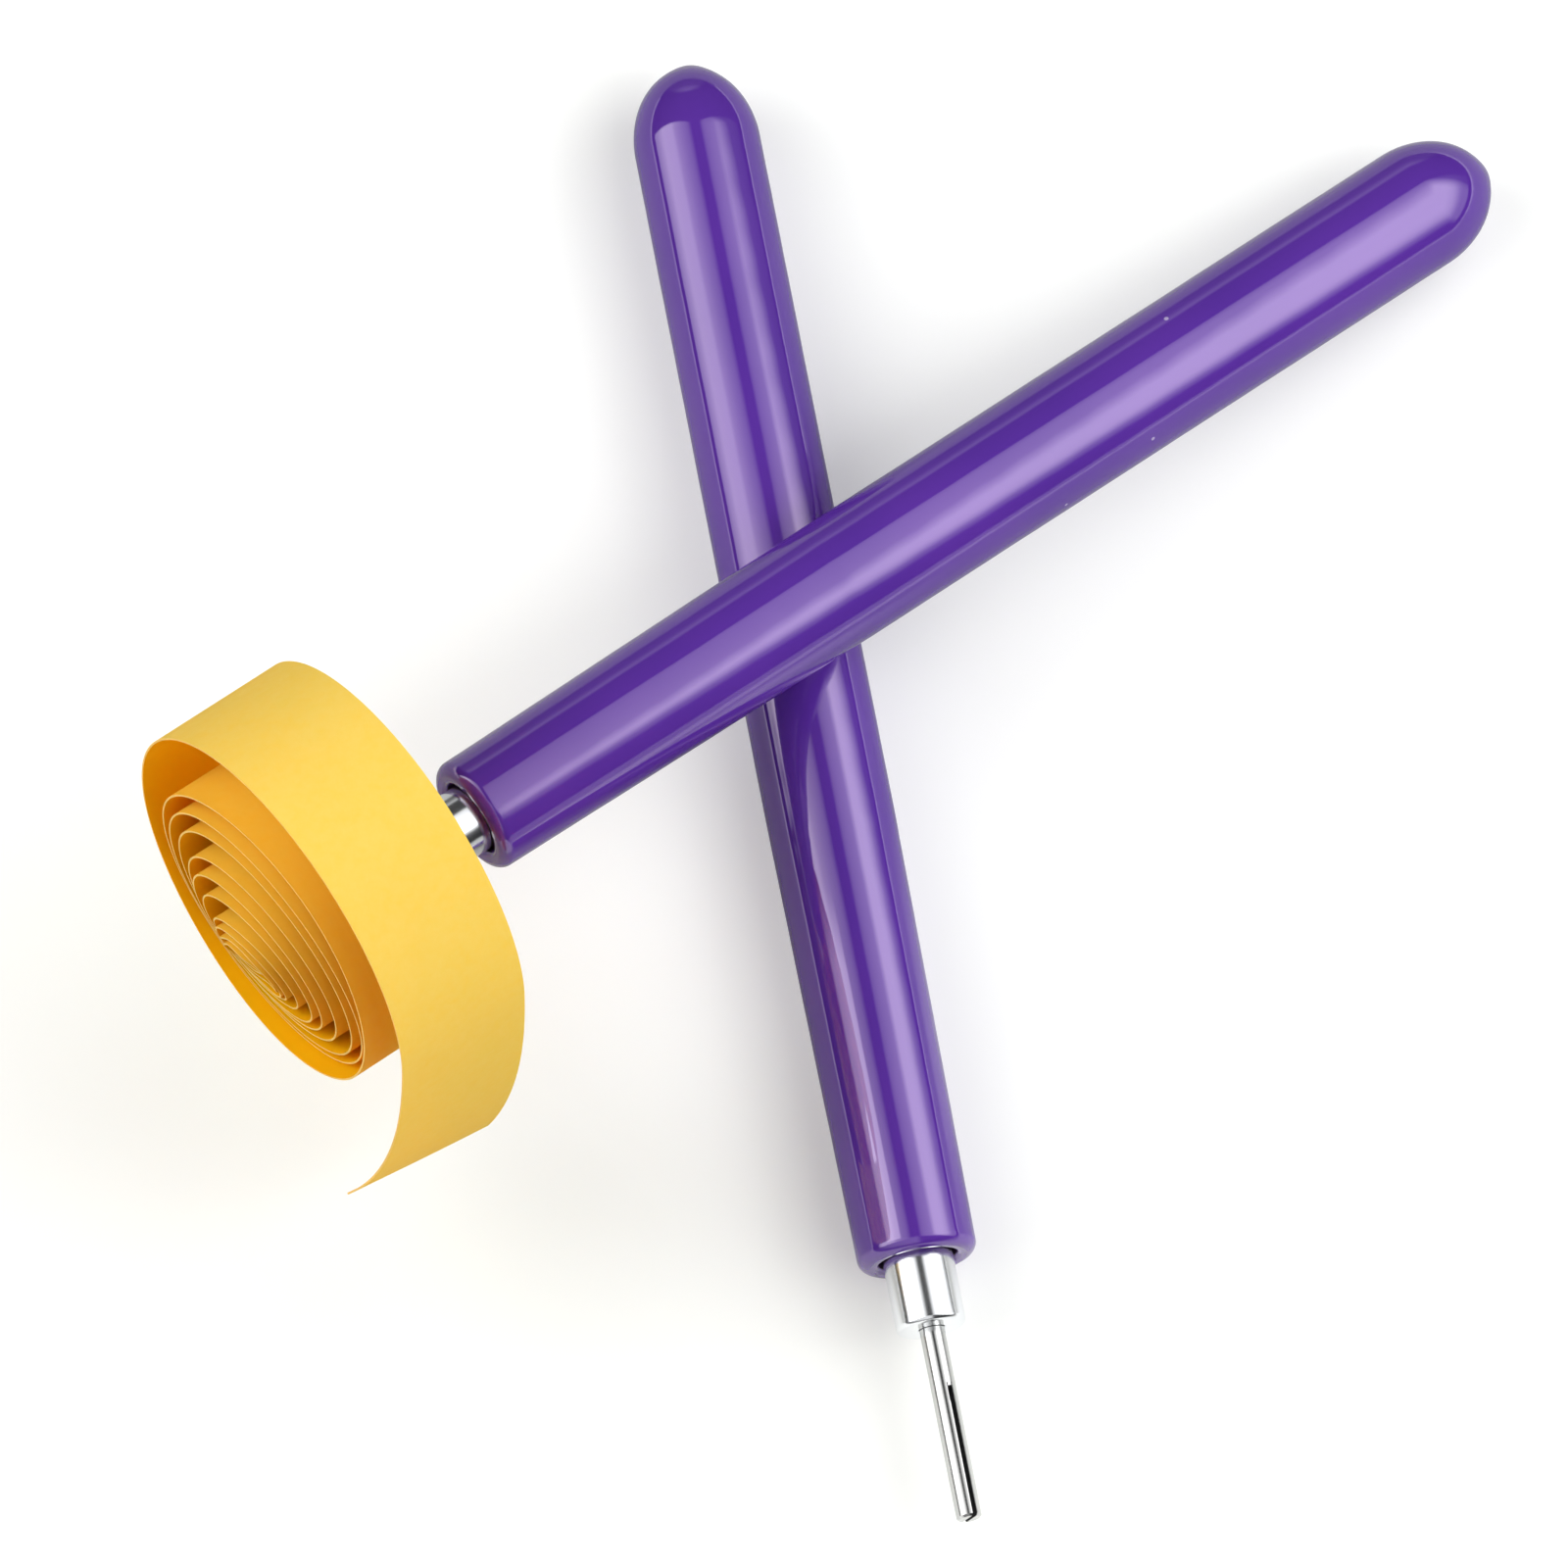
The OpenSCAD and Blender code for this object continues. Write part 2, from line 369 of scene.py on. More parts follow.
def core_aluminium():
    """Plain turned rod, seen only in the recess of the mouth."""
    material, nodes = new_material("core_aluminium")
    rings = object_noise(nodes, 1800.0, detail=2.0)
    colour = two_colours(nodes, rings, srgb(176, 177, 180), srgb(200, 201, 204))
    shader = nodes.add(
        "ShaderNodeBsdfPrincipled",
        Base_Color=colour,
        Metallic=1.0,
        Roughness=0.38,
        Normal=bump(nodes, rings, 0.00001),
    )
    finish_material(nodes, shader.outputs["BSDF"])
    return material


def yellow_paper():
    """Uncoated yellow paper: mottled fibres, light passing through, paler cut edges, and inner sides
    and sheltered turns tinted deeper as painted light come through the paper.
    """
    light_through = 0.36
    less_through_edge = 0.1
    sheltered_painted_light = 0.6
    broad_share = 0.4
    painted_through_light_tint = srgb(255, 224, 50)
    pale_edge = srgb(255, 228, 130)
    amber_light = srgb(255, 180, 10)
    material, nodes = new_material("yellow_paper")
    fibres = object_noise(nodes, 1400.0, detail=4.0, roughness=0.65)
    clouds = object_noise(nodes, 330.0, detail=3.0)
    fine = two_colours(nodes, fibres, srgb(254, 238, 100), srgb(255, 246, 124), 0.3, 0.7)
    broad = two_colours(nodes, clouds, srgb(254, 239, 104), srgb(255, 245, 118), 0.3, 0.7)
    colour = mixed_colours(nodes, broad_share, fine, broad)
    # Painted light: the inner sides, and the turns under the outermost one, are tinted deeper
    # amber-yellow for the light that comes to them through the paper.
    inner = nodes.add("ShaderNodeAttribute", {"attribute_name": "inner_side"})
    sheltered = nodes.add("ShaderNodeAttribute", {"attribute_name": "sheltered"})
    painted_light_share = nodes.formula(sheltered.outputs["Fac"]) * sheltered_painted_light
    painted_light_share = painted_light_share.math("MAXIMUM", nodes.formula(inner.outputs["Fac"]))
    colour = mixed_colours(nodes, painted_light_share, colour, painted_through_light_tint, "MULTIPLY")
    rim = nodes.add("ShaderNodeAttribute", {"attribute_name": "cut_edge"})
    colour = mixed_colours(nodes, rim.outputs["Fac"], colour, pale_edge)
    tooth = bump(nodes, fibres, 0.00002, 0.6)
    paper = nodes.add(
        "ShaderNodeBsdfPrincipled",
        Base_Color=colour,
        Roughness=0.75,
        Specular_IOR_Level=0.05,
        Normal=tooth,
    )
    through = nodes.add("ShaderNodeBsdfTranslucent", Color=amber_light)
    passing = light_through - nodes.formula(rim.outputs["Fac"]) * less_through_edge
    mixed = nodes.add("ShaderNodeMixShader", Fac=passing)
    nodes.tree.links.new(paper.outputs["BSDF"], mixed.inputs[1])
    nodes.tree.links.new(through.outputs["BSDF"], mixed.inputs[2])
    finish_material(nodes, mixed.outputs["Shader"])
    return material


def table_spot(nodes, place, spot, reach, strength):
    """The given strength at a spot on the table, easing to 0 at its reach."""
    away = nodes.add("ShaderNodeVectorMath", {"operation": "DISTANCE"})
    nodes.tree.links.new(place.outputs["Object"], away.inputs[0])
    away.inputs[1].default_value = (spot[0], spot[1], 0.0)
    return (1.0 - nodes.formula(away.outputs["Value"]) / reach).ease() * strength


# The table, in metres from its middle. Its glow is what the camera sees added to its shade.
TABLE_HALF = 3.0
TABLE_WHITE = (0.8, 0.81, 0.785, 1.0)
TABLE_WHITE_IN_GLOSS = (0.48, 0.486, 0.471, 1.0)
TABLE_GLOW = 0.24
WHITE_START = 0.1
WHITE_SPAN = 0.4
GLOSS_WHITE_SPAN = 0.15
BOUNCE_LOSS = 0.15
# Each as (place, reach, strength)
# Painted shade and light on the table: its glow is lowered under the strip's tail, deepening the
# shadow there, and raised beside the lower tool, lightening the shadow there
PAINTED_SHADE_SPOT = ((-0.035, -0.026), 0.036, 0.16)
PAINTED_LIGHT_SPOT = ((-0.014, -0.009), 0.022, 0.13)
GLOSS_SPOT = ((0.013, -0.018), 0.02, 0.8)
# The gloss sees the table dim near the tools behind the mouth line, at the right front, and in a
# wedge at the rear. Each line is (place where it starts, span over which it eases in).
MOUTH_LINE = (-0.038, 0.008)
RIGHT_SIDE = (0.0, 0.03)
FRONT_SIDE = (-0.05, 0.02)
REAR_WEDGE = (0.02, 0.05)
REAR_WEDGE_SLOPE = 1.5


def white_table():
    """The table: it keeps the shadows near the tools and goes over into the white background.

    The grips' gloss sees it dimmer close by, as in the photograph, and white further off.
    """
    material, nodes = new_material("white_table")
    plain = nodes.add("ShaderNodeBsdfDiffuse", Color=TABLE_WHITE)
    place = nodes.add("ShaderNodeTexCoord")
    distance = nodes.add("ShaderNodeVectorMath", {"operation": "LENGTH"})
    nodes.tree.links.new(place.outputs["Object"], distance.inputs[0])
    from_middle = nodes.formula(distance.outputs["Value"])
    far = eased(from_middle, (WHITE_START, WHITE_SPAN))
    level = far * (1.0 - TABLE_GLOW) + TABLE_GLOW
    # Painted shade under the strip's tail, and painted light beside the lower tool
    level = level - table_spot(nodes, place, *PAINTED_SHADE_SPOT)
    level = level + table_spot(nodes, place, *PAINTED_LIGHT_SPOT)
    glow = nodes.add("ShaderNodeEmission", Color=(1.0, 1.0, 1.0, 1.0), Strength=level)
    path = nodes.add("ShaderNodeLightPath")
    glossy = nodes.formula(path.outputs["Is Glossy Ray"])
    parts = nodes.add("ShaderNodeSeparateXYZ")
    nodes.tree.links.new(place.outputs["Object"], parts.inputs[0])
    sideways = nodes.formula(parts.outputs["X"])
    depth = nodes.formula(parts.outputs["Y"])
    # Painted shade in the reflections: near the grips the gloss sees the table dimmed, and the diffuse
    # bounce off the table is a little dimmed everywhere
    near_grips = 1.0 - eased(from_middle, (WHITE_START, GLOSS_WHITE_SPAN))
    near_grips = near_grips * eased(depth, MOUTH_LINE)
    near_grips = near_grips * (1.0 - table_spot(nodes, place, *GLOSS_SPOT))
    front_start, front_span = FRONT_SIDE
    right_front = eased(sideways, RIGHT_SIDE) * ((front_start - depth) / front_span).ease()
    behind = eased(depth - sideways.math("ABSOLUTE") * REAR_WEDGE_SLOPE, REAR_WEDGE)
    near_grips = near_grips.math("MAXIMUM", right_front).math("MAXIMUM", behind)
    dim = nodes.add("ShaderNodeBsdfDiffuse", Color=TABLE_WHITE_IN_GLOSS)
    bounced = nodes.formula(path.outputs["Is Diffuse Ray"]) * BOUNCE_LOSS
    dim_share = (glossy * near_grips).math("MAXIMUM", bounced)
    dimmed = nodes.add("ShaderNodeMixShader", Fac=dim_share)
    nodes.tree.links.new(plain.outputs["BSDF"], dimmed.inputs[1])
    nodes.tree.links.new(dim.outputs["BSDF"], dimmed.inputs[2])
    both = nodes.add("ShaderNodeAddShader")
    nodes.tree.links.new(dimmed.outputs["Shader"], both.inputs[0])
    nodes.tree.links.new(glow.outputs["Emission"], both.inputs[1])
    seen = nodes.formula(path.outputs["Is Camera Ray"])
    seen = seen.math("MAXIMUM", nodes.formula(path.outputs["Is Transmission Ray"]))
    seen = seen.math("MAXIMUM", glossy * (1.0 - near_grips))
    mixed = nodes.add("ShaderNodeMixShader", Fac=seen)
    nodes.tree.links.new(dimmed.outputs["Shader"], mixed.inputs[1])
    nodes.tree.links.new(both.outputs["Shader"], mixed.inputs[2])
    finish_material(nodes, mixed.outputs["Shader"])
    return material


# Places of the tools


class ToolPlace:
    """A tool's place: its rounded end, its direction to the tip, and two directions across it."""

    def __init__(self, rear, along, across):
        self.along = Vector(along).normalized()
        self.across = Vector(across).normalized()
        self.upward = self.along.cross(self.across)
        self.rear = Vector(rear)

    def matrix(self):
        """Takes a tool built along +Z, in millimetres, to its place in metres."""
        turn = Matrix((self.across, self.upward, self.along)).transposed().to_4x4()
        return Matrix.Scale(MM, 4) @ Matrix.Translation(self.rear) @ turn


def tool_places():
    """Both places, from the same rules as the part's source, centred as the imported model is."""
    def sleeve_r(place):
        if place <= STRAIGHT_LENGTH:
            return SLEEVE_R
        share = (place - STRAIGHT_LENGTH) / (SLEEVE_LENGTH - STRAIGHT_LENGTH)
        return SLEEVE_R + (MOUTH_R - SLEEVE_R) * share

    distance = sleeve_r(LOWER_CROSS) + sleeve_r(UPPER_CROSS) + CROSS_GAP
    slope = SLOPE_GUESS
    for _ in range(SLOPE_PASSES):
        level = math.cos(slope) * math.sin(CROSS_ANGLE)
        lift = level / math.hypot(level, math.sin(slope))
        slope = math.asin(distance * lift / (UPPER_CROSS - SLEEVE_R))
    azimuth = -math.pi / 2 - CROSS_ANGLE
    along = Vector((
        math.cos(slope) * math.cos(azimuth),
        math.cos(slope) * math.sin(azimuth),
        math.sin(slope),
    ))
    across = Vector((-math.sin(azimuth), math.cos(azimuth), 0.0))
    to_lower_tip = Vector((0.0, -1.0, 0.0))
    normal = along.cross(to_lower_tip).normalized()
    nearest = Vector((0.0, 0.0, SLEEVE_R)) + normal * distance
    low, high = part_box("lower_grip_sleeve")
    middle = Vector((
        -(low.x + high.x) / 2 / MM,
        LOWER_CROSS - SLEEVE_LENGTH - low.y / MM,
        0.0,
    ))
    lower_rear = Vector((0.0, LOWER_CROSS, SLEEVE_R)) - middle
    upper_rear = nearest - along * UPPER_CROSS - middle
    lower = ToolPlace(lower_rear, to_lower_tip, (1.0, 0.0, 0.0))
    upper = ToolPlace(upper_rear, along, across)
    return lower, upper


# Turned pieces


def arc(centre, radius, start, stop, steps):
    """Points of a round corner, as (radius from the axis, place along it)."""
    points = []
    for i in range(steps + 1):
        angle = math.radians(start + (stop - start) * i / steps)
        points.append((
            centre[0] + radius * math.cos(angle),
            centre[1] + radius * math.sin(angle),
        ))
    return points


def straight(start, stop, steps):
    """Points between two profile points, without the ends."""
    return [
        (
            start[0] + (stop[0] - start[0]) * i / steps,
            start[1] + (stop[1] - start[1]) * i / steps,
        )
        for i in range(1, steps)
    ]


def turned(name, profile, sides, material, matrix, reshape=None, sharp_angle=35.0):
    """A closed turned piece from a profile of (radius, place) that starts and ends on the axis."""
    work = bmesh.new()
    first = work.verts.new((0.0, 0.0, profile[0][1]))
    final = work.verts.new((0.0, 0.0, profile[-1][1]))
    rings = []
    for radius, place in profile[1:-1]:
        ring = []
        for i in range(sides):
            angle = 2 * math.pi * i / sides
            point = Vector((radius * math.cos(angle), radius * math.sin(angle), place))
            ring.append(work.verts.new(point))
        rings.append(ring)
    for i in range(sides):
        after = (i + 1) % sides
        work.faces.new((first, rings[0][i], rings[0][after]))
        work.faces.new((final, rings[-1][after], rings[-1][i]))
        for inner, outer in zip(rings, rings[1:]):
            work.faces.new((inner[i], outer[i], outer[after], inner[after]))
    if reshape is not None:
        for vertex in work.verts:
            vertex.co = reshape(vertex.co.copy())
    bmesh.ops.recalc_face_normals(work, faces=work.faces)
    return finish_mesh(name, work, material, matrix, sharp_angle)


def finish_mesh(name, work, material, matrix, sharp_angle):
    mesh = bpy.data.meshes.new(name)
    work.to_mesh(mesh)
    work.free()
    mesh.transform(matrix)
    mesh.materials.append(material)
    mesh.polygons.foreach_set("use_smooth", [True] * len(mesh.polygons))
    mesh.set_sharp_from_angle(angle=math.radians(sharp_angle))
    piece = bpy.data.objects.new(name, mesh)
    bpy.context.scene.collection.objects.link(piece)
    return piece


# Grip sleeve
DOME_LENGTH = 5.9
MOUTH_HOLE_R = 2.75
LIP_OUTER_R = 0.85
LIP_INNER_R = 0.42
LIP_STEP = 0.04
FLARE_LENGTH = 1.2
UPPER_MOUTH_PLACE = SLEEVE_LENGTH + 0.4
TAPER_BOW = 0.35
TAPER_LEAD_IN = 0.1
NUB_R = 1.4
NUB_REACH = SLEEVE_R * 0.9
NUB_FADE_START = 2.8
SKIN_SINK = 0.006
SKIN_SWELL = 0.004
SKIN_FADE_REAR = 8.0
SKIN_FADE_MOUTH = 4.0
# The skin's slow swells, each as (height, radians per millimetre along, waves round, start)
SKIN_WAVES = ((1.0, 0.31, 2.0, 0.0), (0.7, 0.83, -1.0, 1.3), (0.5, 1.7, 3.0, 0.4))
SLEEVE_SIDES = 112


def sleeve_profile(mouth_place):
    """Long rounded end, straight and tapered stretches, rounded lip, tight mouth and blind bore."""
    lip_place = mouth_place - LIP_OUTER_R
    points = [(0.0, 0.0)]
    dome_steps = 44
    for i in range(1, dome_steps + 1):
        angle = math.pi / 2 * i / dome_steps
        points.append((SLEEVE_R * math.sin(angle), DOME_LENGTH * (1.0 - math.cos(angle))))
    body_steps = 150
    for i in range(1, body_steps):
        place = DOME_LENGTH + (lip_place - DOME_LENGTH) * i / body_steps
        share = max(0.0, (place - STRAIGHT_LENGTH) / (lip_place - STRAIGHT_LENGTH))
        taper = share * share * (2.0 - share) * TAPER_BOW + share * (1.0 - TAPER_BOW)
        if share < TAPER_LEAD_IN:
            taper = share * share * (5.0 * (1.0 - TAPER_BOW) + TAPER_BOW)
        points.append((SLEEVE_R + (MOUTH_R - SLEEVE_R) * min(taper, 1.0), place))
    points += arc((MOUTH_R - LIP_OUTER_R, lip_place), LIP_OUTER_R, 0.0, 85.0, 20)
    inner_place = mouth_place - LIP_INNER_R - LIP_STEP
    points += arc((MOUTH_HOLE_R + LIP_INNER_R, inner_place), LIP_INNER_R, 85.0, 180.0, 12)
    flare_start = inner_place - FLARE_LENGTH
    flare_steps = 8
    for i in range(1, flare_steps + 1):
        share = i / flare_steps
        ease = share * share * (3.0 - 2.0 * share)
        points.append((
            MOUTH_HOLE_R + (HOLE_R - MOUTH_HOLE_R) * ease,
            inner_place + (flare_start - inner_place) * share,
        ))
    points += straight((HOLE_R, flare_start), (HOLE_R, END_WALL), 12)
    points += [(HOLE_R, END_WALL), (0.0, END_WALL)]
    return points


def sleeve_reshape(nub_side):
    """Draws the drip nub out of the rounded end and gives the skin its slight unevenness."""
    nub_x = math.sin(NUB_ANGLE) * NUB_REACH * nub_side[0]
    nub_y = math.sin(NUB_ANGLE) * NUB_REACH * nub_side[1]

    def reshape(point):
        radius = math.hypot(point.x, point.y)
        if point.z < DOME_LENGTH and radius < SLEEVE_R + 0.1:
            off = math.hypot(point.x - nub_x, point.y - nub_y)
            fade = min(1.0, 2.0 - point.z / NUB_FADE_START)
            point.z -= NUB_RISE * math.exp(-((off / NUB_R) ** 2)) * fade
        if radius > HOLE_R + 0.05:
            angle = math.atan2(point.y, point.x)
            swell = sum(
                height * math.sin(point.z * along + angle * around + start)
                for height, along, around, start in SKIN_WAVES
            )
            to_mouth = max(0.0, (SLEEVE_LENGTH - point.z) / SKIN_FADE_MOUTH)
            fade = min(1.0, point.z / SKIN_FADE_REAR) * min(1.0, to_mouth)
            scale = 1.0 - (SKIN_SINK + SKIN_SWELL * swell) * fade / SLEEVE_R
            point.x *= scale
            point.y *= scale
        return point

    return reshape


def mark_bore(sleeve, matrix, mouth_place):
    """Marks the faces of the sleeve's inside, which is dull and gets no light; the material darkens
    them with painted shade.
    """
    bore_r = MOUTH_HOLE_R + 0.12
    bore_start = END_WALL / 2
    bore_end = mouth_place - 0.3
    mesh = sleeve.data
    to_tool = matrix.inverted()
    bore = mesh.attributes.new("bore", "FLOAT", "FACE")
    for face in mesh.polygons:
        middle = to_tool @ face.center
        radius = math.hypot(middle.x, middle.y)
        inside = radius < bore_r and bore_start < middle.z < bore_end
        bore.data[face.index].value = 1.0 if inside else 0.0


# Ferrule and pin
FRONT_ROUND_R = 0.42
REAR_ROUND_R = 0.07
PIN_HOLE_R = PIN_R + 0.03
PIN_HOLE_BEVEL = 0.1
PIN_HOLE_DEPTH = 0.8
FERRULE_SIDES = 96
PIN_SIDES = 72
PIN_SHARP_ANGLE = 32.0
CUTTER_OVERSHOOT = 1.0
CUTTER_HALF_LENGTH = 2.0
SLOT_END_STEPS = 12


def ferrule_profile():
    """Shank, seat shoulder, polished body with soft edges, and the front face round the pin's hole."""
    edge = REAR_ROUND_R
    body_start = CORE_END + SEAT_GAP
    bevel_r = PIN_HOLE_R + PIN_HOLE_BEVEL
    round_place = FERRULE_END - FRONT_ROUND_R
    points = [(0.0, CORE_END - SHANK_LENGTH), (SHANK_R, CORE_END - SHANK_LENGTH)]
    points += straight((SHANK_R, CORE_END - SHANK_LENGTH), (SHANK_R, body_start), 6)
    points += [(SHANK_R, body_start)]
    points += arc((FERRULE_R - edge, body_start + edge), edge, -90.0, 0.0, 6)
    points += straight((FERRULE_R, body_start + edge), (FERRULE_R, round_place), 14)
    points += arc((FERRULE_R - FRONT_ROUND_R, round_place), FRONT_ROUND_R, 0.0, 90.0, 16)
    points += straight((FERRULE_R - FRONT_ROUND_R, FERRULE_END), (bevel_r, FERRULE_END), 6)
    points += [
        (bevel_r, FERRULE_END),
        (PIN_HOLE_R, FERRULE_END - PIN_HOLE_BEVEL),
        (PIN_HOLE_R, FERRULE_END - PIN_HOLE_DEPTH),
        (0.0, FERRULE_END - PIN_HOLE_DEPTH),
    ]
    return points


def pin_profile():
    """Turned tang, shoulder, straight pin and broken edge at the tip."""
    shoulder = FERRULE_END + SEAT_GAP
    points = [(0.0, FERRULE_END - TANG_LENGTH), (TANG_R, FERRULE_END - TANG_LENGTH)]
    points += [(TANG_R, shoulder), (PIN_R, shoulder)]
    points += straight((PIN_R, shoulder), (PIN_R, TOOL_LENGTH - PIN_CHAMFER), 10)
    points += [(PIN_R, TOOL_LENGTH - PIN_CHAMFER)]
    points += [(PIN_R - PIN_CHAMFER, TOOL_LENGTH), (0.0, TOOL_LENGTH)]
    return points


def slot_cutter(matrix, turn):
    """The slot's space: a flat slab with a rounded blind end."""
    work = bmesh.new()
    start = TOOL_LENGTH - SLOT_LENGTH + SLOT_W / 2
    mouth = TOOL_LENGTH + CUTTER_OVERSHOOT
    outline = [(SLOT_W / 2, mouth), (-SLOT_W / 2, mouth)]
    for i in range(SLOT_END_STEPS + 1):
        angle = math.pi + math.pi * i / SLOT_END_STEPS
        outline.append((SLOT_W / 2 * math.cos(angle), start + SLOT_W / 2 * math.sin(angle)))
    near = [work.verts.new((-CUTTER_HALF_LENGTH, y, z)) for y, z in outline]
    far = [work.verts.new((CUTTER_HALF_LENGTH, y, z)) for y, z in outline]
    work.faces.new(near)
    work.faces.new(list(reversed(far)))
    count = len(outline)
    for i in range(count):
        after = (i + 1) % count
        work.faces.new((near[i], far[i], far[after], near[after]))
    bmesh.ops.recalc_face_normals(work, faces=work.faces)
    mesh = bpy.data.meshes.new("slot_space")
    work.to_mesh(mesh)
    work.free()
    mesh.transform(matrix @ Matrix.Rotation(turn, 4, "Z"))
    cutter = bpy.data.objects.new("slot_space", mesh)
    bpy.context.scene.collection.objects.link(cutter)
    return cutter


def cut_away(piece, cutter, sharp_angle):
    """Cuts the cutter's space out of the piece and keeps a plain mesh."""
    modifier = piece.modifiers.new("slot", "BOOLEAN")
    modifier.operation = "DIFFERENCE"
    modifier.solver = "EXACT"
    modifier.object = cutter
    graph = bpy.context.evaluated_depsgraph_get()
    mesh = bpy.data.meshes.new_from_object(piece.evaluated_get(graph))
    piece.modifiers.remove(modifier)
    piece.data = mesh
    mesh.polygons.foreach_set("use_smooth", [True] * len(mesh.polygons))
    mesh.set_sharp_from_angle(angle=math.radians(sharp_angle))
    bpy.data.objects.remove(cutter)


def mark_sawn_and_shaded_walls(pin, matrix, turn):
    """Marks the faces inside the slot, which aren't polished and which the material darkens with
    painted shade.
    """
    margin = 0.01
    facing_share = 0.7
    slot_start = TOOL_LENGTH - SLOT_LENGTH
    tip_start = TOOL_LENGTH - PIN_CHAMFER * 1.2
    mesh = pin.data
    to_slot = (matrix @ Matrix.Rotation(turn, 4, "Z")).inverted()
    sawn_and_shaded = mesh.attributes.new("sawn_and_shaded", "FLOAT", "FACE")
    for face in mesh.polygons:
        middle = to_slot @ face.center
        inside = abs(middle.y) < SLOT_W / 2 + margin and middle.z > slot_start - margin
        faces_tip = abs((to_slot.to_3x3() @ face.normal).normalized().z) > facing_share
        at_tip = faces_tip and middle.z > tip_start
        sawn_and_shaded.data[face.index].value = 1.0 if inside and not at_tip else 0.0


def make_tool(side, place, materials, nub_side, slot_turn, mouth_place=SLEEVE_LENGTH):
    """One tool: three pieces that stand for their solids, and the core rod's own solid, finished."""
    body = side + "_tool"
    matrix = place.matrix()
    sleeve = turned(
        side + "_moulded_sleeve", sleeve_profile(mouth_place), SLEEVE_SIDES,
        materials["purple_vinyl"], matrix, reshape=sleeve_reshape(nub_side), sharp_angle=60.0,
    )
    mark_bore(sleeve, matrix, mouth_place)
    collar = turned(
        side + "_plated_ferrule", ferrule_profile(), FERRULE_SIDES,
        materials["chrome_plate"], matrix, sharp_angle=40.0,
    )
    pin = turned(
        side + "_polished_pin", pin_profile(), PIN_SIDES,
        materials["polished_steel"], matrix, sharp_angle=PIN_SHARP_ANGLE,
    )
    cut_away(pin, slot_cutter(matrix, slot_turn), PIN_SHARP_ANGLE)
    mark_sawn_and_shaded_walls(pin, matrix, slot_turn)
    for piece, node, slot in (
        (sleeve, side + "_grip_sleeve", "purple_vinyl"),
        (collar, side + "_ferrule", "chrome_plate"),
        (pin, side + "_slotted_pin", "polished_steel"),
    ):
        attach(piece, body)
        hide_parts(node)
    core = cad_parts[side + "_core_rod"]
    core.data.materials.clear()
    core.data.materials.append(materials["core_aluminium"])


# Rolled strip
LEAD_TURNS = 0.64
TAIL_TURNS = 0.28
ALONG_POINTS = 1900
ACROSS_POINTS = 9
WELD_DISTANCE = 0.0005
STRIP_SHARP_ANGLE = 50.0
# The straight start in the slot: where it begins, its length for each turn, and its bend's span
TAB_START = 0.8
TAB_PER_TURN = 2.5
TAB_BEND_SPAN = 0.12
# The side towards which the inner turns tilt, and where tilt and shelter from the light end
TILT_TURN = math.radians(60.0)
TILT_LEAD = 0.35
TILT_SPAN = 0.55
SHELTER_LEAD = 1.15
SHELTER_SPAN = 0.2
# The tail's droop: how far it also moves aside, and how much of it comes before the tail
DROOP_ASIDE = 0.9
EARLY_DROOP = 0.2
EARLY_DROOP_SPAN = 0.35


